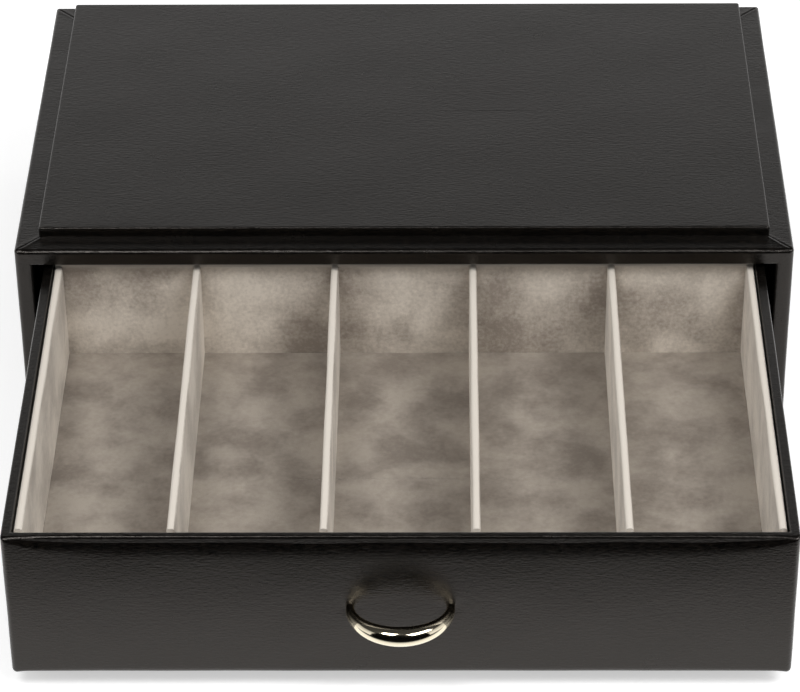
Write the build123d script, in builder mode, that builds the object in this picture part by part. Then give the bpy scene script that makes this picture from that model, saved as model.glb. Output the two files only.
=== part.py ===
"""A leather-covered box for cufflinks: an open-fronted case with one long drawer of five lined bays.

Millimetres. +Z is up, the front faces -Y, and the origin is the centre of the underside of the case.
The drawer stands pulled out, with only its back end still in the case.
"""
import os
from math import cos, pi, sin

from build123d import *

os.makedirs("parts", exist_ok=True)

# Case: overall sizes from the table up, without the raised panel on top.
case_width = 270.0
case_depth = 167.0
case_height = 71.0
case_board = 5.0
leather = 0.6
edge_radius = 1.2
leather_turn_in = 14.0
case_lining = 0.4
base_cover_thickness = 0.8
base_cover_inset = 3.0

# Raised panel on top of the case.
panel_board = 2.6
panel_padding = 0.6
panel_side_inset = 8.0
panel_front_inset = 8.7
panel_back_inset = 3.4
panel_edge_radius = 0.5

# Drawer: the clearances around it set its outer size.
side_clearance = 3.5
top_clearance = 2.1
floor_clearance = 0.5
back_clearance = 1.2
drawer_left_in_case = 11.3
drawer_board = 2.0
drawer_turn_in = 14.0
front_padding = 0.5
bottom_recess = 3.0
bottom_cover = 0.4
bottom_board = 3.0

# Lining of the drawer.
floor_pad = 9.5
floor_cloth = 0.6
cloth = 0.4
lining_card = 1.8
lining_gap = 0.5
lining_drop = 1.2
front_lining_drop = 3.1
cloth_turn_back = 10.0
divider_card = 1.8
bay_count = 5

# Bow handle: a flattened half ring, thickest in the middle, with a threaded stud at each end.
bow_spacing = 32.0
bow_reach = 14.6
bow_middle_diameter = 6.3
bow_end_diameter = 2.6
bow_swell_power = 1.2
bow_sections = 17
stud_diameter = 2.0
stud_hole_clearance = 0.1
washer_diameter = 5.0
washer_thickness = 0.3
nut_across_flats = 4.0
nut_thickness = 1.6
nut_pocket_diameter = 6.4
stud_past_nut = 0.2


def block(x_span, y_span, z_span, mode=Mode.ADD):
    """A rectangular block between two limits on each axis, added to the current part or cut from it."""
    with BuildSketch(Plane.XY.offset(z_span[0])) as outline:
        with Locations(((x_span[0] + x_span[1]) / 2, (y_span[0] + y_span[1]) / 2)):
            Rectangle(x_span[1] - x_span[0], y_span[1] - y_span[0])
    extrude(outline.sketch, amount=z_span[1] - z_span[0], mode=mode)


def grown(span, amount):
    """The span made longer by the same amount at both ends, or shorter where the amount is negative."""
    return (span[0] - amount, span[1] + amount)


def shifted(span, amount):
    """The span moved along its axis."""
    return (span[0] + amount, span[1] + amount)


def finish(piece, name):
    """Labels the finished piece and writes it to its own file."""
    piece.part.label = name
    export_step(piece.part, f"parts/{name}.step")


# ---------------------------------------------------------------------------------------------- case
# Outer limits of the leather, then of the ring of boards in it, then of the clear space inside.
case_x = (-case_width / 2, case_width / 2)
case_y = (-case_depth / 2, case_depth / 2)
case_z = (base_cover_thickness, case_height)

boards_x = grown(case_x, -leather)
boards_y = grown(case_y, -leather)
boards_z = grown(case_z, -leather)

bare_x = grown(boards_x, -case_board)
bare_y = (boards_y[0], boards_y[1] - case_board)
bare_z = grown(boards_z, -case_board)

clear_x = grown(bare_x, -leather)
clear_z = grown(bare_z, -leather)

# The top and bottom boards run the full width, and the side boards stand between them.
case_boards = {
    "case_top_board": (boards_x, boards_y, (bare_z[1], boards_z[1])),
    "case_bottom_board": (boards_x, boards_y, (boards_z[0], bare_z[0])),
    "case_left_board": ((boards_x[0], bare_x[0]), boards_y, bare_z),
    "case_right_board": ((bare_x[1], boards_x[1]), boards_y, bare_z),
    "case_back_board": (bare_x, (bare_y[1], boards_y[1]), bare_z),
}
for board_name, spans in case_boards.items():
    with BuildPart() as board:
        block(*spans)
    finish(board, board_name)

# One strip of leather goes round the four boards, over their front edges and a little way in.
wrap_y = (case_y[0], boards_y[1])
turned_in_y = (boards_y[0], boards_y[0] + leather_turn_in)
with BuildPart() as case_leather:
    block(case_x, wrap_y, case_z)
    long_edges = case_leather.edges().filter_by(Axis.Y)
    front_edges = case_leather.edges().group_by(Axis.Y)[0]
    fillet(long_edges + front_edges, radius=edge_radius)
    block(boards_x, boards_y, boards_z, mode=Mode.SUBTRACT)
    block(bare_x, turned_in_y, bare_z)
    block(clear_x, (case_y[0], turned_in_y[1]), clear_z, mode=Mode.SUBTRACT)
finish(case_leather, "case_leather")

# A second sheet of leather closes the back over the edges of the strip.
with BuildPart() as back_leather:
    block(case_x, (boards_y[1], case_y[1]), case_z)
    fillet(back_leather.edges().filter_by(Axis.Y), radius=edge_radius)
finish(back_leather, "case_back_leather")

# Thin lining sheets cover the bare boards inside, from the turned-in leather to the back board.
lining_x = grown(bare_x, -case_lining)
lining_y = (turned_in_y[1], bare_y[1] - case_lining)
case_linings = {
    "case_floor_lining": (bare_x, lining_y, (bare_z[0], bare_z[0] + case_lining)),
    "case_ceiling_lining": (bare_x, lining_y, (bare_z[1] - case_lining, bare_z[1])),
    "case_left_lining": ((bare_x[0], lining_x[0]), lining_y, grown(bare_z, -case_lining)),
    "case_right_lining": ((lining_x[1], bare_x[1]), lining_y, grown(bare_z, -case_lining)),
    "case_back_lining": (bare_x, (lining_y[1], bare_y[1]), bare_z),
}
for lining_name, spans in case_linings.items():
    with BuildPart() as sheet:
        block(*spans)
    finish(sheet, lining_name)

with BuildPart() as base_cover:
    cover_x = grown(case_x, -base_cover_inset)
    cover_y = grown(case_y, -base_cover_inset)
    block(cover_x, cover_y, (0, base_cover_thickness))
finish(base_cover, "base_cover")

# ------------------------------------------------------------------------------------- raised panel
panel_x = grown(case_x, -panel_side_inset)
panel_y = (case_y[0] + panel_front_inset, case_y[1] - panel_back_inset)
panel_core_x = grown(panel_x, -leather)
panel_core_y = grown(panel_y, -leather)
panel_board_z = (case_height, case_height + panel_board)
panel_padding_z = (panel_board_z[1], panel_board_z[1] + panel_padding)

with BuildPart() as top_panel_board:
    block(panel_core_x, panel_core_y, panel_board_z)
finish(top_panel_board, "top_panel_board")

with BuildPart() as top_panel_padding:
    block(panel_core_x, panel_core_y, panel_padding_z)
finish(top_panel_padding, "top_panel_padding")

with BuildPart() as top_panel_leather:
    block(panel_x, panel_y, (case_height, panel_padding_z[1] + leather))
    panel_top_edges = top_panel_leather.edges().group_by(Axis.Z)[-1]
    panel_corner_edges = top_panel_leather.edges().filter_by(Axis.Z)
    fillet(panel_top_edges + panel_corner_edges, radius=panel_edge_radius)
    block(panel_core_x, panel_core_y, (case_height, panel_padding_z[1]), mode=Mode.SUBTRACT)
finish(top_panel_leather, "top_panel_leather")

# ------------------------------------------------------------------------------------------- drawer
# The drawer's length is the clear depth of the case less a gap, so its front closes flush.
drawer_length = lining_y[1] - case_y[0] - back_clearance
drawer_front = case_y[0] + drawer_left_in_case - drawer_length
drawer_x = grown(clear_x, -side_clearance)
drawer_y = (drawer_front, drawer_front + drawer_length)
drawer_z = (clear_z[0] + floor_clearance, clear_z[1] - top_clearance)

# The walls: leather, board and turned-in leather, with padding in front of the front board.
walls_x = grown(drawer_x, -leather)
walls_y = grown(drawer_y, -leather)
walls_z = grown(drawer_z, -leather)
front_board_y = walls_y[0] + front_padding
hollow_x = grown(walls_x, -drawer_board)
hollow_y = (front_board_y + drawer_board, walls_y[1] - drawer_board)
tray_x = grown(hollow_x, -leather)
tray_y = grown(hollow_y, -leather)

# Studs of the handle pass through the front at the middle of its height.
bow_z = (drawer_z[0] + drawer_z[1]) / 2
stud_places = [(-bow_spacing / 2, bow_z), (bow_spacing / 2, bow_z)]
stud_hole = stud_diameter / 2 + stud_hole_clearance


def front_holes(radius, y_span):
    """Cuts the two round holes of the handle through the current part, between two depths."""
    with BuildSketch(Plane.XZ.offset(-y_span[1])) as outline:
        with Locations(*stud_places):
            Circle(radius)
    extrude(outline.sketch, amount=y_span[1] - y_span[0], mode=Mode.SUBTRACT)


front_wall_y = (drawer_y[0], hollow_y[0])
with BuildPart() as front_board:
    block(walls_x, (front_board_y, hollow_y[0]), walls_z)
    front_holes(stud_hole, front_wall_y)
finish(front_board, "drawer_front_board")

with BuildPart() as front_pad:
    block(walls_x, (walls_y[0], front_board_y), walls_z)
    front_holes(stud_hole, front_wall_y)
finish(front_pad, "drawer_front_padding")

drawer_boards = {
    "drawer_back_board": (walls_x, (hollow_y[1], walls_y[1]), walls_z),
    "drawer_left_board": ((walls_x[0], hollow_x[0]), hollow_y, walls_z),
    "drawer_right_board": ((hollow_x[1], walls_x[1]), hollow_y, walls_z),
}
for board_name, spans in drawer_boards.items():
    with BuildPart() as board:
        block(*spans)
    finish(board, board_name)

# Leather covers the four walls outside, the rim and the lower edges, and turns in below the rim.
rim_turn_z = walls_z[1] - drawer_turn_in
with BuildPart() as drawer_leather:
    block(drawer_x, drawer_y, drawer_z)
    fillet(drawer_leather.edges(), radius=edge_radius)
    block(walls_x, walls_y, walls_z, mode=Mode.SUBTRACT)
    block(hollow_x, hollow_y, (rim_turn_z, walls_z[1]))
    block(tray_x, tray_y, (rim_turn_z, drawer_z[1]), mode=Mode.SUBTRACT)
    block(hollow_x, hollow_y, (drawer_z[0], walls_z[0]), mode=Mode.SUBTRACT)
    front_holes(stud_hole, front_wall_y)
finish(drawer_leather, "drawer_leather")

# The bottom board is glued in between the walls, above their lower edges, with paper under it.
bottom_cover_z = (drawer_z[0] + bottom_recess, drawer_z[0] + bottom_recess + bottom_cover)
bottom_board_z = (bottom_cover_z[1], bottom_cover_z[1] + bottom_board)
with BuildPart() as drawer_bottom:
    block(hollow_x, hollow_y, bottom_board_z)
finish(drawer_bottom, "drawer_bottom_board")

with BuildPart() as drawer_bottom_cover:
    block(hollow_x, hollow_y, bottom_cover_z)
finish(drawer_bottom_cover, "drawer_bottom_cover")

# ------------------------------------------------------------------------------- lining of the drawer
# Each wall carries a card with cloth on its face, over its top edge and a little way down its back.
lining_thickness = cloth + lining_card + cloth
lined_x = grown(tray_x, -lining_gap)
lined_y = grown(tray_y, -lining_gap)
bays_x = grown(lined_x, -lining_thickness)
bays_y = grown(lined_y, -lining_thickness)

# Each lining with its limits, the direction of its back as steps along X and Y, and its depth below the rim.
wall_linings = {
    "left": ((lined_x[0], bays_x[0]), bays_y, (-1, 0), lining_drop),
    "right": ((bays_x[1], lined_x[1]), bays_y, (1, 0), lining_drop),
    "front": (lined_x, (lined_y[0], bays_y[0]), (0, -1), front_lining_drop),
    "back": (lined_x, (bays_y[1], lined_y[1]), (0, 1), lining_drop),
}
for side, (x_span, y_span, back, drop) in wall_linings.items():
    lining_z = (bottom_board_z[1], drawer_z[1] - drop)
    card_z = (lining_z[0], lining_z[1] - cloth)
    turned_back_z = (lining_z[0], lining_z[1] - cloth_turn_back)
    card_x = grown(x_span, -cloth * abs(back[0]))
    card_y = grown(y_span, -cloth * abs(back[1]))
    bare_back_x = shifted(card_x, cloth * back[0])
    bare_back_y = shifted(card_y, cloth * back[1])
    with BuildPart() as card:
        block(card_x, card_y, card_z)
        if side == "front":
            front_holes(nut_pocket_diameter / 2, card_y)
    finish(card, f"{side}_lining_card")
    with BuildPart() as cover:
        block(x_span, y_span, lining_z)
        block(card_x, card_y, card_z, mode=Mode.SUBTRACT)
        block(bare_back_x, bare_back_y, turned_back_z, mode=Mode.SUBTRACT)
    finish(cover, f"{side}_lining_cloth")

# A soft pad under one sheet of cloth makes the floor of all the bays.
pad_z = (bottom_board_z[1], bottom_board_z[1] + floor_pad)
floor_z = (pad_z[1], pad_z[1] + floor_cloth)
with BuildPart() as pad:
    block(bays_x, bays_y, pad_z)
finish(pad, "floor_pad")

with BuildPart() as floor_sheet:
    block(bays_x, bays_y, floor_z)
finish(floor_sheet, "floor_cloth")

# Dividers stand on the floor between the front and back linings: a card with cloth over it.
divider_thickness = cloth + divider_card + cloth
divider_count = bay_count - 1
bay_width = (bays_x[1] - bays_x[0] - divider_count * divider_thickness) / bay_count
divider_cloth_z = (floor_z[1], drawer_z[1] - lining_drop)
divider_card_z = (floor_z[1], divider_cloth_z[1] - cloth)
for number in range(1, divider_count + 1):
    divider_left = bays_x[0] + number * bay_width + (number - 1) * divider_thickness
    divider_x = (divider_left, divider_left + divider_thickness)
    divider_card_x = grown(divider_x, -cloth)
    with BuildPart() as divider_core:
        block(divider_card_x, bays_y, divider_card_z)
    finish(divider_core, f"divider_card_{number}")
    with BuildPart() as divider_cover:
        block(divider_x, bays_y, divider_cloth_z)
        block(divider_card_x, bays_y, divider_card_z, mode=Mode.SUBTRACT)
    finish(divider_cover, f"divider_cloth_{number}")

# ------------------------------------------------------------------------------------------- handle
# The bow is lofted through circles set square to half an ellipse, which swell towards its middle.
nut_seat_y = hollow_y[0]
nut_y = nut_seat_y + washer_thickness
stud_length = nut_y + nut_thickness + stud_past_nut - drawer_y[0]
bow_half_width = bow_spacing / 2
with BuildPart() as bow:
    for step in range(bow_sections):
        turn = pi * step / (bow_sections - 1)
        centre = (bow_half_width * cos(turn), drawer_y[0] - bow_reach * sin(turn), bow_z)
        along = (-bow_half_width * sin(turn), -bow_reach * cos(turn), 0)
        swell = (bow_middle_diameter - bow_end_diameter) * sin(turn) ** bow_swell_power
        with BuildSketch(Plane(origin=centre, x_dir=(0, 0, 1), z_dir=along)):
            Circle((bow_end_diameter + swell) / 2)
    loft()
    with BuildSketch(Plane.XZ.offset(-drawer_y[0])):
        with Locations(*stud_places):
            Circle(stud_diameter / 2)
    extrude(amount=-stud_length)
finish(bow, "handle_bow")

with BuildPart() as washers:
    with BuildSketch(Plane.XZ.offset(-nut_seat_y)):
        with Locations(*stud_places):
            Circle(washer_diameter / 2)
            Circle(stud_hole, mode=Mode.SUBTRACT)
    extrude(amount=-washer_thickness)
finish(washers, "handle_washers")

with BuildPart() as nuts:
    with BuildSketch(Plane.XZ.offset(-nut_y)):
        with Locations(*stud_places):
            RegularPolygon(nut_across_flats / 2, 6, major_radius=False)
            Circle(stud_diameter / 2, mode=Mode.SUBTRACT)
    extrude(amount=-nut_thickness)
finish(nuts, "handle_nuts")
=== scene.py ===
import bpy
import numpy as np
from mathutils import Matrix, Vector


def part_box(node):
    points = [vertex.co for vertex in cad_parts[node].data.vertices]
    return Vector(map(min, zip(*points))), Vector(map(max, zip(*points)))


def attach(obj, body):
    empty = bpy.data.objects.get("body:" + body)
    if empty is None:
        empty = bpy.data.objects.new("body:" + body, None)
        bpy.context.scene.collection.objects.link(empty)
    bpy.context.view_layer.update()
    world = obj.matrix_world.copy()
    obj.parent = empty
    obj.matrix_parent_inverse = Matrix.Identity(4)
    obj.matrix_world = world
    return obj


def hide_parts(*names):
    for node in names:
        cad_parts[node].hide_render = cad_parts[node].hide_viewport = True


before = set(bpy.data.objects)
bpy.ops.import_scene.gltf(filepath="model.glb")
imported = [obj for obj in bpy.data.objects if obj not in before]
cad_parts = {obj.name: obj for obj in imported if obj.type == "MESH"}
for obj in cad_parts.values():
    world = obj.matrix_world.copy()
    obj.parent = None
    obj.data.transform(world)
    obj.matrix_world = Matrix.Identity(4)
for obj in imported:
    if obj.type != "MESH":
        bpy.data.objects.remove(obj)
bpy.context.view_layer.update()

# ------------------------------------------------------------------------------------ case boards
# The case is a box of five fibreboards, open at the front, glued edge to edge, with a sixth on top.
# The drawer has thinner ones. They are covered on every side, and stay as sawn.


def linear(hex_colour):
    """The linear colour of an sRGB hex colour: each channel is put through the sRGB curve."""
    share = np.array([int(hex_colour[i:i + 2], 16) for i in (1, 3, 5)]) / 255
    light = np.where(share <= 0.04045, share / 12.92, ((share + 0.055) / 1.055) ** 2.4)
    return (*light.tolist(), 1.0)


def add(tree, kind, inputs=None, **settings):
    """Adds a node: settings are its properties, and an input is a plain value or a socket to link."""
    node = tree.nodes.new(kind)
    for name, value in settings.items():
        setattr(node, name, value)
    for name, value in (inputs or {}).items():
        if isinstance(value, bpy.types.NodeSocket):
            tree.links.new(value, node.inputs[name])
        else:
            node.inputs[name].default_value = value
    return node


def blank_material(name):
    """A new material with an empty node tree."""
    material = bpy.data.materials.new(name)
    material.use_nodes = True
    material.node_tree.nodes.clear()
    return material, material.node_tree


def finish_nodes(material, *names):
    """Gives CAD nodes one material."""
    for name in names:
        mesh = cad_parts[name].data
        mesh.materials.clear()
        mesh.materials.append(material)


# Medium-density fibreboard: pressed wood fibre, sawn and left raw, which looks matt and speckled.
# In every Mix node here, inputs 6 and 7 are its two colours and output 2 is the mixed one.
fibreboard, tree = blank_material("raw_fibreboard")
place = add(tree, "ShaderNodeTexCoord").outputs["Object"]
fibres = add(tree, "ShaderNodeTexNoise", {"Vector": place, "Scale": 900, "Detail": 4})
board_tone = add(tree, "ShaderNodeMix", {"Factor": fibres.outputs["Fac"], 6: linear("#8b6f4e"),
                                         7: linear("#b39670")}, data_type="RGBA")
fibre_bump = add(tree, "ShaderNodeBump", {"Height": fibres.outputs["Fac"], "Distance": 0.00005})
board_shader = add(tree, "ShaderNodeBsdfPrincipled", {
    "Base Color": board_tone.outputs[2], "Roughness": 0.85, "Normal": fibre_bump.outputs["Normal"]})
add(tree, "ShaderNodeOutputMaterial", {"Surface": board_shader.outputs["BSDF"]})
finish_nodes(fibreboard, "case_top_board", "case_bottom_board", "case_left_board", "case_right_board",
             "case_back_board", "top_panel_board", "drawer_back_board", "drawer_left_board",
             "drawer_right_board", "drawer_front_board", "drawer_bottom_board")

# ------------------------------------------------------------------------------------ case leather
# One strip of black bonded leather is glued round the case, turned over its front edges and a
# little way in. It is folded to a mitre at each corner of the top, where a fine crease shows.


def span(node):
    """The limits of a CAD node on X, Y and Z, in millimetres."""
    low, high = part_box(node)
    return [(1000 * low[i], 1000 * high[i]) for i in range(3)]


def arc(centre, radii, start, stop, count):
    """Points on an ellipse: the centre plus each radius times the cosine or sine of a stepped angle."""
    angle = np.radians(np.linspace(start, stop, count))
    return np.stack([centre[0] + radii[0] * np.cos(angle), centre[1] + radii[1] * np.sin(angle)], -1)


def run(start, stop, step):
    """Points on a straight line, about a step apart, without its two ends."""
    start, stop = np.array(start, float), np.array(stop, float)
    count = max(int(np.hypot(*(stop - start)) / step), 1)
    share = np.arange(1, count)[:, None] / count
    return start + share * (stop - start)


def shares(length, dense, fine, coarse):
    """Shares of a straight side where its points go: fine steps near both ends, coarse ones between."""
    near = np.arange(0, dense, fine)[1:]
    middle = np.linspace(dense, length - dense, max(int((length - 2 * dense) / coarse), 1) + 1)
    return np.concatenate([near, middle, length - near[::-1]]) / length


def rings(x_span, y_span, radius, sides, corner=7):
    """Rectangles with round corners, one a row. A corner's points are its centre plus the radius
    times the cosine and sine of an angle through a quarter turn, and a side's points divide the
    straight run to the next corner by its shares. The sides go round from the one at high Y."""
    low_x, high_x, low_y, high_y, radius = (
        np.broadcast_to(np.asarray(v, float), (len(radius),))[:, None]
        for v in (*x_span, *y_span, radius))
    turn = np.linspace(0, np.pi / 2, corner)
    centres = [(high_x - radius, high_y - radius), (low_x + radius, high_y - radius),
               (low_x + radius, low_y + radius), (high_x - radius, low_y + radius)]
    corners = [np.stack([cx + radius * np.cos(turn + k * np.pi / 2),
                         cy + radius * np.sin(turn + k * np.pi / 2)], -1)
               for k, (cx, cy) in enumerate(centres)]
    parts = []
    for k in range(4):
        first, last = corners[k][:, -1:], corners[(k + 1) % 4][:, :1]
        parts += [corners[k], first + np.asarray(sides[k])[None, :, None] * (last - first)]
    return np.concatenate(parts, 1)


def skin(name, grid, body, material, closed=True, crease=40):
    """Puts rows of points, in millimetres, into a mesh. Each four neighbouring points are a face and
    every row closes on itself. The rows close too, or else a flat face ends the first and the last.
    Faces are turned round if the volume that they enclose comes out negative."""
    rows, columns = grid.shape[:2]
    points = grid.reshape(-1, 3) / 1000
    index = np.arange(rows * columns).reshape(rows, columns)
    beside = np.roll(index, -1, 1)
    quads = np.stack([index, beside, np.roll(beside, -1, 0), np.roll(index, -1, 0)], -1)
    quads = (quads if closed else quads[:-1]).reshape(-1, 4)
    faces = quads.tolist()
    a, b, c, d = (points[quads[:, k]] for k in range(4))
    volume = np.sum(a * np.cross(b, c)) + np.sum(a * np.cross(c, d))
    if not closed:
        ends = [index[0][::-1], index[-1]]
        faces += [end.tolist() for end in ends]
        volume += sum(np.sum(points[e[0]] * np.cross(points[e[1:-1]], points[e[2:]])) for e in ends)
    if volume < 0:
        faces = [face[::-1] for face in faces]
    mesh = bpy.data.meshes.new(name)
    mesh.from_pydata(points.tolist(), [], faces)
    mesh.shade_smooth()
    mesh.set_sharp_from_angle(angle=np.radians(crease))
    mesh.materials.append(material)
    piece = bpy.data.objects.new(name, mesh)
    bpy.context.scene.collection.objects.link(piece)
    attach(piece, body)
    return piece


def ripple(u, v, size):
    """A gentle unevenness between about -1 and 1: the sum of six sines across the surface, each with
    its own direction and a wavelength near the size."""
    turns = np.array([0.3, 1.1, 1.9, 2.6, 3.7, 5.1])
    stretch = np.array([1.0, 0.73, 1.31, 0.87, 1.57, 0.61])
    phase = np.array([0.2, 2.1, 4.4, 1.3, 5.6, 3.2])
    waves = [np.sin(2 * np.pi * (u * np.cos(t) + v * np.sin(t)) / (size * s) + p)
             for t, s, p in zip(turns, stretch, phase)]
    return sum(waves) / 3


# Bonded leather: ground leather under a printed and polished black top coat, which looks deep
# black where it mirrors nothing and grey where it mirrors a white room. Its grain is pebbles of
# about 1 mm and lines drawn along X, 2 mm long and 0.7 mm apart. A tooth of 0.4 mm, coarser than the
# real one so that it shows, breaks up the light on the edges.
leather, tree = blank_material("black_bonded_leather")
place = add(tree, "ShaderNodeTexCoord").outputs["Object"]
pebbles = add(tree, "ShaderNodeTexVoronoi", {"Vector": place, "Scale": 1100, "Smoothness": 0.5},
              feature="SMOOTH_F1")
tooth = add(tree, "ShaderNodeTexNoise", {"Vector": place, "Scale": 2600, "Detail": 3})
patches = add(tree, "ShaderNodeTexNoise", {"Vector": place, "Scale": 60, "Detail": 5, "Roughness": 0.6})
stretched = add(tree, "ShaderNodeMapping", {"Vector": place, "Scale": (450, 1500, 1500)})
drawn_lines = add(tree, "ShaderNodeTexNoise", {"Vector": stretched.outputs["Vector"], "Scale": 1, "Detail": 4,
                                               "Roughness": 0.6, "Distortion": 0.4})
# The ridges of the drawn lines are painted paler: a painted sheen, standing in for the light that the grain
# catches, so that the grain shows without a deeper bump.
ridge_sheen = add(tree, "ShaderNodeMapRange", {"Value": drawn_lines.outputs["Fac"], "From Min": 0.4,
                                          "From Max": 0.7})
leather_tone = add(tree, "ShaderNodeMix", {"Factor": ridge_sheen.outputs["Result"], 6: linear("#020202"),
                                           7: linear("#120f0c")}, data_type="RGBA")
leather_shine = add(tree, "ShaderNodeMapRange", {"Value": patches.outputs["Fac"], "From Min": 0.3,
                                                 "From Max": 0.7, "To Min": 0.19, "To Max": 0.29})
pebble_bump = add(tree, "ShaderNodeBump", {"Height": pebbles.outputs["Distance"], "Distance": 0.00002})
line_bump = add(tree, "ShaderNodeBump", {"Height": drawn_lines.outputs["Fac"], "Distance": 0.00009,
                                         "Normal": pebble_bump.outputs["Normal"]})
tooth_bump = add(tree, "ShaderNodeBump", {"Height": tooth.outputs["Fac"], "Distance": 0.000008,
                                          "Normal": line_bump.outputs["Normal"]})
leather_shader = add(tree, "ShaderNodeBsdfPrincipled", {
    "Base Color": leather_tone.outputs[2], "Roughness": leather_shine.outputs["Result"],
    "Normal": tooth_bump.outputs["Normal"], "IOR": 1.5, "Specular IOR Level": 0.45,
    "Specular Tint": linear("#fff6ee")})
add(tree, "ShaderNodeOutputMaterial", {"Surface": leather_shader.outputs["BSDF"]})

case_x, case_y, case_z = span("case_leather")
thick = case_z[1] - span("case_top_board")[2][1]
inside_y = span("case_ceiling_lining")[1][0]
opening = span("case_left_board")[0][1] - case_x[0] + thick
edge_roll, mouth_roll, side_roll = 1.6, 0.9, 1.1
fine_run, fine_step, coarse_step = 8.5, 0.28, 3.5
crease_depth, crease_width = 0.26, 0.28
ridge_height, ridge_width = 0.10, 1.3
border_width, border_slope, edge_drop = 8.7, 0.64, 0.24

# The profile starts at the back, goes forward over the board, round its front edge, down the front
# and round into the mouth, and comes back along the board one thickness further in.
outer_run = case_y[1] - case_y[0] - edge_roll
outer_shares = shares(outer_run, fine_run, fine_step, coarse_step)
outer_y = case_y[1] - outer_run * np.concatenate([[0], outer_shares, [1]])
profile = np.concatenate([
    np.stack([np.zeros(len(outer_y) - 1), outer_y[:-1]], -1),
    arc((edge_roll, case_y[0] + edge_roll), (edge_roll, edge_roll), 180, 270, 9),
    run((edge_roll, case_y[0]), (opening - mouth_roll, case_y[0]), 0.8),
    arc((opening - mouth_roll, case_y[0] + mouth_roll), (mouth_roll, mouth_roll), 270, 360, 6),
    run((opening, case_y[0] + mouth_roll), (opening, inside_y), 3.0),
    [(opening, inside_y), (opening - thick, inside_y), (opening - thick, case_y[0] + thick),
     (thick, case_y[0] + thick), (thick, case_y[1])],
])
inset, depth = profile[:, 0], profile[:, 1]
across = shares(case_x[1] - case_x[0] - 2 * side_roll, fine_run, fine_step, coarse_step)
upright = shares(case_z[1] - case_z[0] - 2 * side_roll, 3, 0.7, coarse_step)
plan = rings((case_x[0] + inset, case_x[1] - inset), (case_z[0] + inset, case_z[1] - inset),
             np.maximum(side_roll - inset, 0.25), (across, upright, across[::4], upright))
wrap = np.stack([plan[..., 0], np.repeat(depth[:, None], plan.shape[1], 1), plan[..., 1]], -1)
x, y, z = wrap[..., 0], wrap[..., 1], wrap[..., 2]
to_side = case_x[1] - np.abs(x)
to_end = np.where(y < 0, y - case_y[0], span("case_back_leather")[1][1] - y)
outside = inset[:, None] < thick / 2

# A mitre is a narrow crease with a low ridge round it, along the line as far from the side as from
# the end, and it fades out at the very corner.
on_top = (z > case_z[1] - 0.35) & outside
fold = np.abs(to_side - to_end) / np.sqrt(2)
reach = np.clip((np.hypot(to_side, to_end) - 1.2) / 1.5, 0, 1)
wrap[..., 2] += on_top * reach * (ridge_height * np.exp(-(fold / ridge_width) ** 2)
                                  - crease_depth * np.exp(-(fold / crease_width) ** 2))
wrap[..., 2] += on_top * 0.04 * ripple(x, y, 34)

# In front of the panel the strip was pulled tight over the board, so it slopes evenly down from the
# foot of the panel to the front edge. The slope dies out down the front and under the panel.
in_front = (y < 0) * (to_end < to_side) * (z > case_z[1] - inset[:, None] - 0.35)
in_front = in_front * np.clip(1 - inset[:, None] / 2.4, 0, 1) * np.clip((9.9 - to_end) / 1.2, 0, 1)
slope = border_slope * np.clip(to_end / border_width, 0, 1) - edge_drop * np.clip((to_side - 0.8) / 3, 0, 1)
wrap[..., 2] += in_front * slope
wrap[..., 0] += outside * (np.abs(x) > case_x[1] - 0.3) * np.sign(x) * 0.05 * (ripple(y, z, 40) - 1)
case_leather = skin("case_leather_strip", wrap, "case", leather, closed=True)
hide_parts("case_leather")

# ------------------------------------------------------------------------------------ back leather
# A second sheet of the same leather closes the back. Its edges are pared thin and pressed down
# over the strip, so they are slightly rounded.


def slab(name, spans, body, material, corner, roll, swell=None, step=4.0, hollow=0.0):
    """A flat piece with rolled upper edges. Its half section goes in from the middle of the lower
    face to the rim, up round a quarter circle of the roll's radius and back to the middle, and is
    carried round a rectangle with round corners. A hollow is the thickness of a sheet that only
    covers the top and the sides. The upper face is raised by swell, a function of X and Y."""
    (x0, x1), (y0, y1), (z0, z1) = spans
    reach = min(x1 - x0, y1 - y0) / 2 - 0.5
    floor = z1 - hollow if hollow else z0
    lower = [(hollow, floor), (hollow, z0)] if hollow else []
    section = np.concatenate([
        [(reach, floor)], run((reach, floor), (hollow + 0.1, floor), step * 3), np.reshape(lower, (-1, 2)),
        [(0.1, z0), (0, z0 + 0.1)], arc((roll, z1 - roll), (roll, roll), 180, 90, 7),
        run((roll, z1), (roll + 1.5, z1), 0.5), run((roll + 1.5, z1), (reach, z1), step), [(reach, z1)]])
    inward, height = section[:, 0], section[:, 1]
    long_side = shares(x1 - x0 - 2 * corner, 3, 1.0, step)
    short_side = shares(y1 - y0 - 2 * corner, 3, 1.0, step)
    plan = rings((x0 + inward, x1 - inward), (y0 + inward, y1 - inward),
                 np.maximum(corner - inward, 0.05), (long_side, short_side, long_side, short_side))
    z = np.repeat(height[:, None], plan.shape[1], 1)
    if swell:
        raised = np.clip((inward[:, None] - roll) / 3, 0, 1) * swell(plan[..., 0], plan[..., 1])
        z = z + (height > z1 - 1e-6)[:, None] * raised
    return skin(name, np.concatenate([plan, z[..., None]], -1), body, material, closed=False)


back_x, back_y, back_z = span("case_back_leather")
back_leather = slab("case_back_sheet", (back_x, back_z, (0, back_y[1] - back_y[0])), "case", leather,
                    corner=side_roll, roll=0.35, swell=lambda x, y: 0.03 * ripple(x, y, 45))
lay_upright = np.array([[1, 0, 0, 0], [0, 0, 1, back_y[0] / 1000], [0, -1, 0, (back_z[0] + back_z[1]) / 1000],
                        [0, 0, 0, 1]])
back_leather.data.transform(Matrix(lay_upright.tolist()))
back_leather.data.flip_normals()
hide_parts("case_back_leather")

# ------------------------------------------------------------------------- case linings, base cover
# Smooth black paper is glued over the bare boards inside the case. A sheet of black suede paper
# covers the underside, so that the box doesn't scratch a table.

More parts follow.
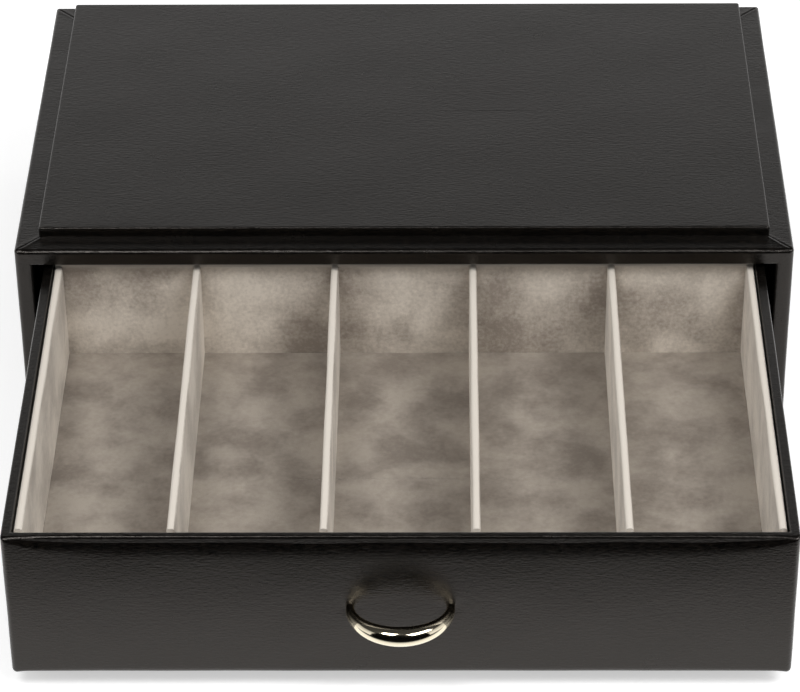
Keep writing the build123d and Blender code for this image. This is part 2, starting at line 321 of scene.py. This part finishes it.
# Coated lining paper: dyed black and calendered, with a faint sheen and a fibrous tooth.
lining_paper, tree = blank_material("black_lining_paper")
place = add(tree, "ShaderNodeTexCoord").outputs["Object"]
pulp = add(tree, "ShaderNodeTexNoise", {"Vector": place, "Scale": 1500, "Detail": 4})
paper_tone = add(tree, "ShaderNodeMix", {"Factor": pulp.outputs["Fac"], 6: linear("#0e0d0d"),
                                         7: linear("#1b1a19")}, data_type="RGBA")
paper_bump = add(tree, "ShaderNodeBump", {"Height": pulp.outputs["Fac"], "Distance": 0.00001})
paper_shader = add(tree, "ShaderNodeBsdfPrincipled", {
    "Base Color": paper_tone.outputs[2], "Roughness": 0.6, "Normal": paper_bump.outputs["Normal"]})
add(tree, "ShaderNodeOutputMaterial", {"Surface": paper_shader.outputs["BSDF"]})
finish_nodes(lining_paper, "case_floor_lining", "case_ceiling_lining", "case_left_lining",
             "case_right_lining", "case_back_lining", "drawer_bottom_cover")

# Suede paper: short flock on paper, which scatters light and goes paler where it is brushed.
suede_paper, tree = blank_material("black_suede_paper")
place = add(tree, "ShaderNodeTexCoord").outputs["Object"]
brushed = add(tree, "ShaderNodeTexNoise", {"Vector": place, "Scale": 70, "Detail": 4})
flock = add(tree, "ShaderNodeTexNoise", {"Vector": place, "Scale": 3000, "Detail": 2})
suede_tone = add(tree, "ShaderNodeMix", {"Factor": brushed.outputs["Fac"], 6: linear("#141312"),
                                         7: linear("#2c2a28")}, data_type="RGBA")
flock_bump = add(tree, "ShaderNodeBump", {"Height": flock.outputs["Fac"], "Distance": 0.00004})
suede_shader = add(tree, "ShaderNodeBsdfPrincipled", {
    "Base Color": suede_tone.outputs[2], "Roughness": 0.95, "Sheen Weight": 0.3, "Sheen Roughness": 0.5,
    "Normal": flock_bump.outputs["Normal"]})
add(tree, "ShaderNodeOutputMaterial", {"Surface": suede_shader.outputs["BSDF"]})
finish_nodes(suede_paper, "base_cover")

# ------------------------------------------------------------------------------------ raised panel
# A thin board on top of the case, softened by a sheet of foam and covered in the same leather,
# which is folded down its sides and glued under it. Its edges are crisp and catch a line of light.

# Polyurethane foam: open cells of about half a millimetre, greyish white.
foam, tree = blank_material("cut_foam")
place = add(tree, "ShaderNodeTexCoord").outputs["Object"]
cells = add(tree, "ShaderNodeTexVoronoi", {"Vector": place, "Scale": 2000})
foam_tone = add(tree, "ShaderNodeMix", {"Factor": cells.outputs["Distance"], 6: linear("#8f8d86"),
                                        7: linear("#cfccc3")}, data_type="RGBA")
cell_bump = add(tree, "ShaderNodeBump", {"Height": cells.outputs["Distance"], "Distance": 0.0002})
foam_shader = add(tree, "ShaderNodeBsdfPrincipled", {
    "Base Color": foam_tone.outputs[2], "Roughness": 0.95, "Normal": cell_bump.outputs["Normal"]})
add(tree, "ShaderNodeOutputMaterial", {"Surface": foam_shader.outputs["BSDF"]})

panel_padding = slab("panel_foam", span("top_panel_padding"), "case", foam, corner=0.3, roll=0.2)
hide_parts("top_panel_padding")

panel_leather = slab("top_panel_sheet", span("top_panel_leather"), "case", leather, corner=0.9, roll=0.6,
                     swell=lambda x, y: 0.04 * ripple(x, y, 60), step=3.0, hollow=thick)
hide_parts("top_panel_leather")

# ------------------------------------------------------------------------------------ drawer covers
# The four walls of the drawer are covered outside in the leather, which goes over the rim and a
# little way down inside. A soft sheet under the front makes it swell, so its top rolls over.
front_padding = slab("front_foam", [span("drawer_front_padding")[i] for i in (0, 2, 1)], "drawer", foam,
                     corner=1.5, roll=0.2)
stand_up = Matrix(((1, 0, 0, 0), (0, 0, 1, 0), (0, 1, 0, 0), (0, 0, 0, 1)))
front_padding.data.transform(stand_up)
front_padding.data.flip_normals()

# Its top is pared to a thin edge, in proportion to the square of the height, where the cover rolls.
corners = np.empty(3 * len(front_padding.data.vertices))
front_padding.data.vertices.foreach_get("co", corners)
corners = corners.reshape(-1, 3)
foam_y, foam_z = span("drawer_front_padding")[1:]
pared = np.clip((1000 * corners[:, 2] - foam_z[1] + 7) / 7, 0, 1) ** 2
corners[:, 1] += 0.00045 * pared * (1000 * corners[:, 1] < sum(foam_y) / 2)
front_padding.data.vertices.foreach_set("co", corners.ravel())
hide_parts("drawer_front_padding")

drawer_x, drawer_y, drawer_z = span("drawer_leather")
wall = span("drawer_left_board")[0][1] + thick - drawer_x[0]
front_wall = span("drawer_front_board")[1][1] + thick - drawer_y[0]
turn_in = 14
turn_end = drawer_z[1] - thick - turn_in
rim_roll, front_roll, lower_roll = 0.6, 1.8, 1.4
low_side, low_front = 1.5, 2.4
rim_slope, lip_height, foot_dip = 0.3, 7.4, 0.35
front_swell, dimple_depth, dimple_radius = 0.30, 0.35, 2.6

# Each row of the section has an inset from the sides and the back, an inset from the front, and a
# height. The rows go up inside the wall, round its inner edge, over the rim, down the roll and the
# face, round the foot and back inside the sheet. Where at_front is 1 the roll is taller by lip_height.
inner = np.linspace(turn_end, drawer_z[1] - rim_roll, 6)[:-1]
over = np.radians(np.linspace(0, 90, 8))
roll = np.radians(np.concatenate([np.linspace(90, 68, 10), np.linspace(60, 0, 8)]))
face = np.linspace(0, 1, 30)[1:-1]
under = np.radians(np.linspace(0, 90, 8))
side_flat = np.linspace(wall - rim_roll, rim_roll, 6)[1:-1]
front_flat = np.linspace(front_wall - rim_roll, front_roll, 6)[1:-1]
side_in = np.concatenate([np.full(5, wall), wall - rim_roll * (1 - np.cos(over)), side_flat,
                          rim_roll * (1 - np.cos(roll)), np.zeros(28), lower_roll * (1 - np.cos(under)),
                          [wall - thick, wall - thick, thick, thick, wall - thick, wall - thick]])
front_in = np.concatenate([np.full(5, front_wall), front_wall - rim_roll * (1 - np.cos(over)), front_flat,
                           front_roll * (1 - np.cos(roll)), np.zeros(28), lower_roll * (1 - np.cos(under)),
                           [front_wall - thick, front_wall - thick, thick, thick, front_wall - thick,
                            front_wall - thick]])
broad = shares(drawer_x[1] - drawer_x[0] - 4, 3, 0.6, 1.5)
deep = shares(drawer_y[1] - drawer_y[0] - 4, 3, 0.6, 3.0)
plan = rings((drawer_x[0] + side_in, drawer_x[1] - side_in), (drawer_y[0] + front_in, drawer_y[1] - side_in),
             np.maximum(1.8 - side_in, 0.3), (broad[::2], deep, broad, deep))
x, y = plan[..., 0], plan[..., 1]
face_top = 5 + len(over) + len(side_flat) + len(roll) - 1
at_front = np.clip((drawer_y[0] + 5 - y[face_top]) / 2, 0, 1) * (1 - (np.abs(x[face_top]) / drawer_x[1]) ** 8)
top_roll = rim_roll + lip_height * at_front
foot_roll = low_side + (low_front - low_side) * at_front
z = np.concatenate([
    np.repeat(inner[:, None], x.shape[1], 1),
    np.repeat((drawer_z[1] - rim_roll * (1 - np.sin(over)))[:, None], x.shape[1], 1),
    np.full((len(side_flat), x.shape[1]), drawer_z[1]),
    drawer_z[1] - top_roll * (1 - np.sin(roll[:, None])),
    (drawer_z[1] - top_roll) * (1 - face[:, None]) + (drawer_z[0] + foot_roll) * face[:, None],
    drawer_z[0] + foot_roll * (1 - np.sin(under[:, None])),
    np.repeat(np.array([drawer_z[0], drawer_z[0] + thick, drawer_z[0] + thick, drawer_z[1] - thick,
                        drawer_z[1] - thick, turn_end])[:, None], x.shape[1], 1)])
row = np.arange(len(side_in))[:, None]
over_rim = (row >= 5 + len(over)) & (row <= face_top)
z = z - over_rim * rim_slope * at_front * (1 - front_in[:, None] / (front_wall - rim_roll)) ** 2
outside = (row > face_top - len(roll)) & (row <= face_top + len(face) + len(under))

# The front swells by a parabola over its height, and the studs of the handle pull a round dimple
# into it at each foot.
swollen = outside * at_front
bow_y, bow_z = span("handle_bow")[1:]
bow_height = (bow_z[0] + bow_z[1]) / 2
middle = (drawer_z[0] + drawer_z[1]) / 2
half = (drawer_z[1] - drawer_z[0]) / 2
bow_spacing, bow_reach, bow_thickness, bow_end = 32.0, 14.6, 6.3, 2.6
pulled = sum(np.exp(-((x - side * bow_spacing / 2) ** 2 + (z - bow_height) ** 2) / dimple_radius ** 2)
             for side in (-1, 1))
y = (y - swollen * (front_swell * (1 - ((z - middle) / half) ** 2) + 0.05 * ripple(x, z, 38))
     + swollen * dimple_depth * pulled)
x = x + outside * (1 - at_front) * (np.abs(x) > drawer_x[1] - 0.5) * np.sign(x) * 0.04 * ripple(y, z, 40)
from_corner = np.hypot(np.abs(x) - drawer_x[1] + 1, y - drawer_y[0] - 1)
z = z - (z < drawer_z[0] + 2.5) * outside * foot_dip * np.exp(-(from_corner / 2.4) ** 2)
drawer_leather = skin("drawer_cover", np.stack([x, y, z], -1), "drawer", leather)
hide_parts("drawer_leather")

# ------------------------------------------------------------------------------------ wall linings
# Each wall of the drawer has a grey card inside it, with velour over its face and its top edge and
# a little way down its back. The cards are pushed in and stand a little unevenly.

# Grey board: recycled paper pulp, rolled flat, dull and speckled.
grey_card, tree = blank_material("grey_board")
place = add(tree, "ShaderNodeTexCoord").outputs["Object"]
flecks = add(tree, "ShaderNodeTexNoise", {"Vector": place, "Scale": 1400, "Detail": 3})
card_tone = add(tree, "ShaderNodeMix", {"Factor": flecks.outputs["Fac"], 6: linear("#7d7a74"),
                                        7: linear("#a29e96")}, data_type="RGBA")
card_bump = add(tree, "ShaderNodeBump", {"Height": flecks.outputs["Fac"], "Distance": 0.00003})
card_shader = add(tree, "ShaderNodeBsdfPrincipled", {
    "Base Color": card_tone.outputs[2], "Roughness": 0.9, "Normal": card_bump.outputs["Normal"]})
add(tree, "ShaderNodeOutputMaterial", {"Surface": card_shader.outputs["BSDF"]})
finish_nodes(grey_card, "left_lining_card", "right_lining_card", "front_lining_card", "back_lining_card",
             "divider_card_1", "divider_card_2", "divider_card_3", "divider_card_4")


def velour(name, cloud_size, dark, pale, streaks):
    """Polyester velour: a pile of under a millimetre on a woven back. Where the pile leans one way or
    the other the cloth looks light or dark in soft-edged patches, and it shows fine lines where it was
    drawn over a card. Along its folded top edges it is painted paler: partly the pile opening there,
    and partly painted light, a painted sheen standing in for the fuller light that the tops catch.
    The bump of the pile is 0.4 mm from tuft to tuft, coarser than the real fibres so that it shows.
    The cloud size is in millimetres, dark and pale are the colours of the leaning pile, and streaks
    weighs the lines."""
    cloth, tree = blank_material(name)
    place = add(tree, "ShaderNodeTexCoord").outputs["Object"]
    clouds = add(tree, "ShaderNodeTexNoise", {"Vector": place, "Scale": 1000 / cloud_size, "Detail": 3,
                                              "Roughness": 0.5, "Distortion": 0.15})
    handled = add(tree, "ShaderNodeTexNoise", {"Vector": place, "Scale": 600, "Detail": 4, "Roughness": 0.6})
    pile = add(tree, "ShaderNodeTexNoise", {"Vector": place, "Scale": 2600, "Detail": 2})
    lines = add(tree, "ShaderNodeMapping", {"Vector": place, "Scale": (900, 25, 900)})
    drawn = add(tree, "ShaderNodeTexNoise", {"Vector": lines.outputs["Vector"], "Scale": 1, "Detail": 3})
    cloud_share = add(tree, "ShaderNodeMapRange", {"Value": clouds.outputs["Fac"], "From Min": 0.27,
                                                   "From Max": 0.73}, interpolation_type="SMOOTHSTEP")
    hand_share = add(tree, "ShaderNodeMath", {0: handled.outputs["Fac"], 1: 0.5}, operation="SUBTRACT")
    hand_part = add(tree, "ShaderNodeMath", {0: hand_share.outputs[0], 1: 0.9, 2: cloud_share.outputs[0]},
                    operation="MULTIPLY_ADD")
    line_share = add(tree, "ShaderNodeMath", {0: drawn.outputs["Fac"], 1: 0.5}, operation="SUBTRACT")
    line_part = add(tree, "ShaderNodeMath", {0: line_share.outputs[0], 1: streaks, 2: hand_part.outputs[0]},
                    operation="MULTIPLY_ADD", use_clamp=True)
    lean = add(tree, "ShaderNodeMix", {"Factor": line_part.outputs[0], 6: linear(dark), 7: linear(pale)},
               data_type="RGBA")
    # Painted light in part: the folded top edge is mixed towards a pale colour, for the opened pile and for
    # the sheen and fuller light that the tops catch.
    pile_and_sheen_edge = add(tree, "ShaderNodeAttribute", attribute_name="opened_pile_and_painted_sheen")
    pile_and_sheen_edge_tone = add(tree, "ShaderNodeMix", {"Factor": pile_and_sheen_edge.outputs["Fac"], 6: lean.outputs[2],
                                              7: linear("#d9d1c6")}, data_type="RGBA")
    pile_bump = add(tree, "ShaderNodeBump", {"Height": pile.outputs["Fac"], "Distance": 0.00012})
    line_bump = add(tree, "ShaderNodeBump", {"Height": drawn.outputs["Fac"], "Distance": 0.0001 * streaks,
                                             "Normal": pile_bump.outputs["Normal"]})
    shader = add(tree, "ShaderNodeBsdfPrincipled", {
        "Base Color": pile_and_sheen_edge_tone.outputs[2], "Roughness": 0.95, "Sheen Weight": 0.8,
        "Sheen Roughness": 0.4, "Sheen Tint": linear("#f2eadf"), "Specular IOR Level": 0.2,
        "Normal": line_bump.outputs["Normal"]})
    add(tree, "ShaderNodeOutputMaterial", {"Surface": shader.outputs["BSDF"]})
    return cloth


# The velour on the cards is given paler colours than the same velour on the floor pad: painted light for the
# walls and divider tops, which catch more light than the floor down in the bays.
wall_velour = velour("taupe_velour_on_card", 24, "#968c82", "#dbd2c6", 0.5)
floor_velour = velour("taupe_velour_on_pad", 16, "#837a71", "#aba297", 0.0)


def folded_cloth(name, node, face_axis, face_side, lowest_back, cloth=0.4, top=1.0, gap=None,
                 uneven=0.1):
    """Cloth folded over the top edge of a card. Its section is a thin closed loop: up the face, over
    the top with an arc at each edge, down the back to lowest_back, and back again one thickness
    further in. It is carried along the card. The face is moved out by uneven times a ripple that
    dies out at the floor, and gap pulls the end of the cloth back from the corner by height. A card
    along Y has its front end covered too, because the front lining is a little lower."""
    limits = span(node)
    z0, z1 = limits[2]
    across, along = limits[face_axis], limits[1 - face_axis]
    width = across[1] - across[0]
    loop = np.concatenate([
        [(0, z0)], run((0, z0), (0, z1 - top), 1.5), arc((top, z1 - top), (top, top), 180, 90, 6),
        arc((width - top, z1 - top), (top, top), 90, 0, 6),
        run((width, z1 - top), (width, lowest_back), 3.0), [(width, lowest_back)],
        [(width - cloth, lowest_back), (width - cloth, z1 - cloth), (cloth, z1 - cloth), (cloth, z0)]])
    station = np.linspace(0, 1, int((along[1] - along[0]) / 2) + 1)[:, None]
    ends = np.array(along)[:, None] + np.zeros((2, len(loop)))
    if gap:
        ends[1] -= gap(loop[:, 1])
    far = ends[0] + station * (ends[1] - ends[0])
    rise = np.repeat(loop[None, :, 1], len(station), 0)
    out = np.repeat(loop[None, :, 0], len(station), 0)
    front_face = out < cloth * 0.6
    loose = np.clip((rise - z0 - 8) / 12, 0, 1)
    out = out - front_face * loose * uneven * ripple(far, rise + 7 * limits[0][0], 42)
    if face_axis == 0:
        far[0] -= 0.15
        out[0, -4:], rise[0, -4:] = width * np.array([1, 0.75, 0.5, 0.25]), z0
    flat = across[0] + out if face_side < 0 else across[1] - out
    points = np.stack([flat, far, rise] if face_axis == 0 else [far, flat, rise], -1)
    piece = skin(name, points, "drawer", wall_velour, closed=False, crease=60)
    # The top 1.3 mm of the face and top is marked for the paler colour: partly opened pile, partly painted
    # sheen and painted light on the tops.
    pile_and_sheen_edge = np.clip((rise - z1 + 1.3) / 1.0, 0, 1) * (out < width - cloth)
    piece.data.attributes.new("opened_pile_and_painted_sheen", "FLOAT", "POINT").data.foreach_set("value", pile_and_sheen_edge.ravel())
    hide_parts(node)


def corner_gap(height):
    """How far the left card stands off from the back corner: nothing low down, then more with height."""
    return 1.1 * np.clip((height - 33) / 20, 0, 1) ** 1.3


turned_back = span("left_lining_card")[2][1] - 9.6
front_turned_back = turned_back - 0.7
folded_cloth("left_wall_velour", "left_lining_cloth", 0, 1, turned_back, gap=corner_gap)
folded_cloth("right_wall_velour", "right_lining_cloth", 0, -1, turned_back)
folded_cloth("front_wall_velour", "front_lining_cloth", 1, 1, front_turned_back)
folded_cloth("back_wall_velour", "back_lining_cloth", 1, -1, turned_back)

# ------------------------------------------------------------------------------------ floor of the bays
# A pad of foam lies on the bottom board, with one sheet of velour over it. The dividers press on
# it, so it swells a little in each bay.
floor_foam = slab("floor_foam", span("floor_pad"), "drawer", foam, corner=0.3, roll=0.3, step=8.0)
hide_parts("floor_pad")

floor_x, floor_y, floor_z = span("floor_cloth")
divider_x = [span(f"divider_cloth_{k}")[0] for k in (1, 2, 3, 4)]
walls_at = np.array([floor_x[0], *[edge for pair in divider_x for edge in pair], floor_x[1]]).reshape(-1, 2)


def pillow(x, y):
    """The swelling of the floor in each bay: a height times one minus the fourth power of the share
    of the way from the bay's middle, across and along, and nothing under a divider."""
    height = np.zeros_like(x)
    for low, high in walls_at:
        share = np.clip(np.abs(2 * x - low - high) / (high - low), 0, 1)
        height += 0.4 * (1 - share ** 4)
    depth_share = np.abs(2 * y - floor_y[0] - floor_y[1]) / (floor_y[1] - floor_y[0])
    return height * (1 - depth_share ** 8) + 0.12 * ripple(x, y, 33) * (height > 0.05)


floor_sheet = slab("floor_velour", (floor_x, floor_y, floor_z), "drawer", floor_velour, corner=0.3, roll=0.25,
                   swell=pillow, step=1.8)
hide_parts("floor_cloth")

# ------------------------------------------------------------------------------------ dividers
# Four cards, each with velour over its top edge and down both faces, stand between the front and
# back linings and part the drawer into five bays.
for number in (1, 2, 3, 4):
    node = f"divider_cloth_{number}"
    folded_cloth(f"divider_velour_{number}", node, 0, -1, span(node)[2][0],
                 uneven=0.06)

# ------------------------------------------------------------------------------------ bow handle
# A half ring cast in zinc alloy, thicker towards its middle, polished and plated pale gold. A stud
# at each end goes through the front and is held by a washer and a nut behind the lining.

# Polished plating: a mirror with hairlines from the buffing wheel, warm because the gold is pale.
plating, tree = blank_material("polished_pale_gold_plating")
place = add(tree, "ShaderNodeTexCoord").outputs["Object"]
buffed = add(tree, "ShaderNodeMapping", {"Vector": place, "Scale": (400, 4000, 4000)})
hairlines = add(tree, "ShaderNodeTexNoise", {"Vector": buffed.outputs["Vector"], "Scale": 1, "Detail": 2})
smears = add(tree, "ShaderNodeTexNoise", {"Vector": place, "Scale": 250, "Detail": 3})
gold_tone = add(tree, "ShaderNodeMix", {"Factor": smears.outputs["Fac"], 6: linear("#e0d4b8"),
                                        7: linear("#eee5d0")}, data_type="RGBA")
gold_shine = add(tree, "ShaderNodeMapRange", {"Value": smears.outputs["Fac"], "To Min": 0.05, "To Max": 0.14})
hair_bump = add(tree, "ShaderNodeBump", {"Height": hairlines.outputs["Fac"], "Distance": 0.000002})
gold_shader = add(tree, "ShaderNodeBsdfPrincipled", {
    "Base Color": gold_tone.outputs[2], "Metallic": 1.0, "Roughness": gold_shine.outputs["Result"],
    "Normal": hair_bump.outputs["Normal"]})
add(tree, "ShaderNodeOutputMaterial", {"Surface": gold_shader.outputs["BSDF"]})

bow_foot = drawer_y[0]
stud_end = bow_y[1]
turn = np.linspace(0, np.pi, 65)
thickening = (bow_thickness - bow_end) * np.sin(turn) ** 1.2
centre = np.stack([bow_spacing / 2 * np.cos(turn), bow_foot - bow_reach * np.sin(turn),
                   np.full(65, bow_height)], -1)
tangent = np.stack([-bow_spacing / 2 * np.sin(turn), -bow_reach * np.cos(turn), np.zeros(65)], -1)
tangent /= np.linalg.norm(tangent, axis=1, keepdims=True)
thickness = bow_end + thickening
stud_y = np.array([stud_end, stud_end - 0.2, bow_foot + 0.9, bow_foot + 0.9, bow_foot + 0.45])
stud_width = np.array([1.6, 2.0, 2.0, 2.5, 2.6])
stud = np.stack([np.full(5, bow_spacing / 2), stud_y, np.full(5, bow_height)], -1)
centre = np.concatenate([stud, centre, stud[::-1] * (-1, 1, 1)])
tangent = np.concatenate([np.tile((0, -1, 0), (5, 1)), tangent, np.tile((0, 1, 0), (5, 1))])
thickness = np.concatenate([stud_width, thickness, stud_width[::-1]])
around = np.linspace(0, 2 * np.pi, 33)[:-1]
outward = np.cross(tangent, (0, 0, 1))
bow_grid = centre[:, None] + thickness[:, None, None] / 2 * (
    np.cos(around)[None, :, None] * outward[:, None] + np.sin(around)[None, :, None] * np.array((0, 0, 1)))
bow = skin("bow_handle", bow_grid, "drawer", plating, closed=False, crease=50)
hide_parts("handle_bow")

# Zinc-plated steel: grey, a little cloudy, stamped and turned.
steel, tree = blank_material("zinc_plated_steel")
place = add(tree, "ShaderNodeTexCoord").outputs["Object"]
crystals = add(tree, "ShaderNodeTexVoronoi", {"Vector": place, "Scale": 2500})
steel_tone = add(tree, "ShaderNodeMix", {"Factor": crystals.outputs["Distance"], 6: linear("#8d9092"),
                                         7: linear("#b9bcbe")}, data_type="RGBA")
steel_shader = add(tree, "ShaderNodeBsdfPrincipled", {
    "Base Color": steel_tone.outputs[2], "Metallic": 1.0, "Roughness": 0.35})
add(tree, "ShaderNodeOutputMaterial", {"Surface": steel_shader.outputs["BSDF"]})
finish_nodes(steel, "handle_washers", "handle_nuts")

# ------------------------------------------------------------------------------------ studio
# A white table in a white room, a soft lamp on each side in front, and a black wall and cloth behind
# the camera, which give the leather its deep blacks.
def board(name, corners, material):
    """A flat piece of the studio with four given corners."""
    mesh = bpy.data.meshes.new(name)
    mesh.from_pydata(corners, [], [list(range(4))])
    mesh.materials.append(material)
    piece = bpy.data.objects.new(name, mesh)
    bpy.context.scene.collection.objects.link(piece)
    return piece


def seen(tree, diffuse_light, seen_light):
    """The strength of a light: one for rays from the camera and those that metal, gloss and glass
    send on, and another for the rest."""
    path = add(tree, "ShaderNodeLightPath")
    gloss = add(tree, "ShaderNodeMath", {0: path.outputs["Is Camera Ray"], 1: path.outputs["Is Glossy Ray"]},
                operation="ADD")
    direct = add(tree, "ShaderNodeMath", {0: gloss.outputs[0], 1: path.outputs["Is Transmission Ray"]},
                 operation="ADD", use_clamp=True)
    strength = add(tree, "ShaderNodeMapRange", {"Value": direct.outputs[0], "To Min": diffuse_light,
                                                "To Max": seen_light})
    return strength.outputs["Result"]


# White laminate: smooth, with a faint mottle, bright enough to look white and still hold a shadow.
laminate, tree = blank_material("white_laminate")
place = add(tree, "ShaderNodeTexCoord").outputs["Object"]
mottle = add(tree, "ShaderNodeTexNoise", {"Vector": place, "Scale": 40, "Detail": 2})
table_tone = add(tree, "ShaderNodeMix", {"Factor": mottle.outputs["Fac"], 6: linear("#eeeeee"),
                                         7: linear("#f2f2f2")}, data_type="RGBA")
table_shader = add(tree, "ShaderNodeBsdfDiffuse", {"Color": table_tone.outputs[2]})
table_glow = add(tree, "ShaderNodeEmission", {"Strength": seen(tree, 0.0, 0.48)})
table_sum = add(tree, "ShaderNodeAddShader", {0: table_shader.outputs[0], 1: table_glow.outputs[0]})
add(tree, "ShaderNodeOutputMaterial", {"Surface": table_sum.outputs[0]})
board("table", [(-4, -4, 0), (4, -4, 0), (4, 4, 0), (-4, 4, 0)], laminate)

# Black felt, which sends back almost nothing. Only gloss and metal see it, as a photographer's flags.
felt, tree = blank_material("black_felt")
felt_shader = add(tree, "ShaderNodeBsdfDiffuse", {"Color": linear("#0c0c0c")})
add(tree, "ShaderNodeOutputMaterial", {"Surface": felt_shader.outputs[0]})
dark_wall = board("dark_wall", [(-2.5, -1.9, 0), (2.5, -1.9, 0), (2.5, -1.9, 2.6), (-2.5, -1.9, 2.6)], felt)

# Black gauze: thin at the edge next to the box and closed further out, so the front fades upwards.
gauze, tree = blank_material("black_gauze")
place = add(tree, "ShaderNodeTexCoord").outputs["Object"]
from_box = add(tree, "ShaderNodeSeparateXYZ", {"Vector": place}).outputs["Y"]
closing = add(tree, "ShaderNodeMapRange", {"Value": from_box, "From Min": -0.238, "From Max": -0.318})
closed = add(tree, "ShaderNodeMath", {0: closing.outputs["Result"], 1: 2.2}, operation="POWER")
gauze_shader = add(tree, "ShaderNodeMixShader", {
    "Fac": closed.outputs[0], 1: add(tree, "ShaderNodeBsdfTransparent").outputs[0],
    2: add(tree, "ShaderNodeBsdfDiffuse", {"Color": linear("#0c0c0c")}).outputs[0]})
add(tree, "ShaderNodeOutputMaterial", {"Surface": gauze_shader.outputs[0]})
dark_cloth = board("dark_cloth", [(-2.5, -1.9, 0.001), (2.5, -1.9, 0.001), (2.5, -0.238, 0.001),
                                  (-2.5, -0.238, 0.001)], gauze)
for card in (dark_wall, dark_cloth):
    card.visible_camera = card.visible_diffuse = card.visible_shadow = False

# Each softbox has its place and its width and height in metres, and its power in watts.
aim = Vector((0, -0.15, 0.05))
for side, stands, lamp_width, lamp_height, power in (("left", Vector((-0.34, -0.75, 1.15)), 0.42, 0.4, 5.0),
                                                     ("right", Vector((0.62, -0.70, 1.10)), 0.84, 0.45, 9.0)):
    lamp = bpy.data.lights.new(f"{side}_softbox", "AREA")
    lamp.shape, lamp.size, lamp.size_y, lamp.energy = "RECTANGLE", lamp_width, lamp_height, power
    softbox = bpy.data.objects.new(f"{side}_softbox", lamp)
    turned = (stands - aim).to_track_quat("Z", "Y").to_matrix().to_4x4()
    softbox.matrix_world = Matrix.Translation(stands) @ turned
    softbox.visible_camera = False
    bpy.context.scene.collection.objects.link(softbox)

# The room is white low down and darkens towards its ceiling.
room = bpy.data.worlds.new("white_room")
bpy.context.scene.world = room
room.use_nodes = True
tree = room.node_tree
tree.nodes.clear()
direction = add(tree, "ShaderNodeTexCoord").outputs["Generated"]
upwards = add(tree, "ShaderNodeSeparateXYZ", {"Vector": direction}).outputs["Z"]
fading = add(tree, "ShaderNodeMapRange", {"Value": upwards, "From Min": 0.3, "From Max": 0.62, "To Min": 1.0,
                                          "To Max": 0.5})
wall_white = add(tree, "ShaderNodeMapRange", {"Value": upwards, "From Min": 0.57, "From Max": 0.67,
                                              "To Min": fading.outputs["Result"], "To Max": 0.05},
                 interpolation_type="SMOOTHSTEP")
room_light = add(tree, "ShaderNodeBackground", {"Color": (1, 1, 1, 1),
                                                "Strength": seen(tree, 0.45, wall_white.outputs["Result"])})
add(tree, "ShaderNodeOutputWorld", {"Surface": room_light.outputs[0]})

# The camera looks down at 36 degrees from the front, far enough away to flatten the picture.
pitch, yaw, tilt = np.radians((35.6091, -0.8574, -0.576))
ahead = np.array([np.sin(yaw) * np.cos(pitch), np.cos(yaw) * np.cos(pitch), -np.sin(pitch)])
level = np.array([np.cos(yaw), -np.sin(yaw), 0])
above = np.cross(level, ahead)
right = np.cos(tilt) * level + np.sin(tilt) * above
up = np.cos(tilt) * above - np.sin(tilt) * level
lens = bpy.data.cameras.new("front_camera")
lens.sensor_width, lens.sensor_fit, lens.lens = 36, "HORIZONTAL", 3474.5 / 800 * 36
lens.clip_end = 20
camera = bpy.data.objects.new("front_camera", lens)
camera.matrix_world = Matrix.Translation((0.01336, -1.07895, 0.74342)) @ Matrix(
    np.stack([right, up, -ahead], 1).tolist()).to_4x4()
bpy.context.scene.collection.objects.link(camera)
bpy.context.scene.camera = camera
bpy.context.scene.view_settings.view_transform = "Standard"
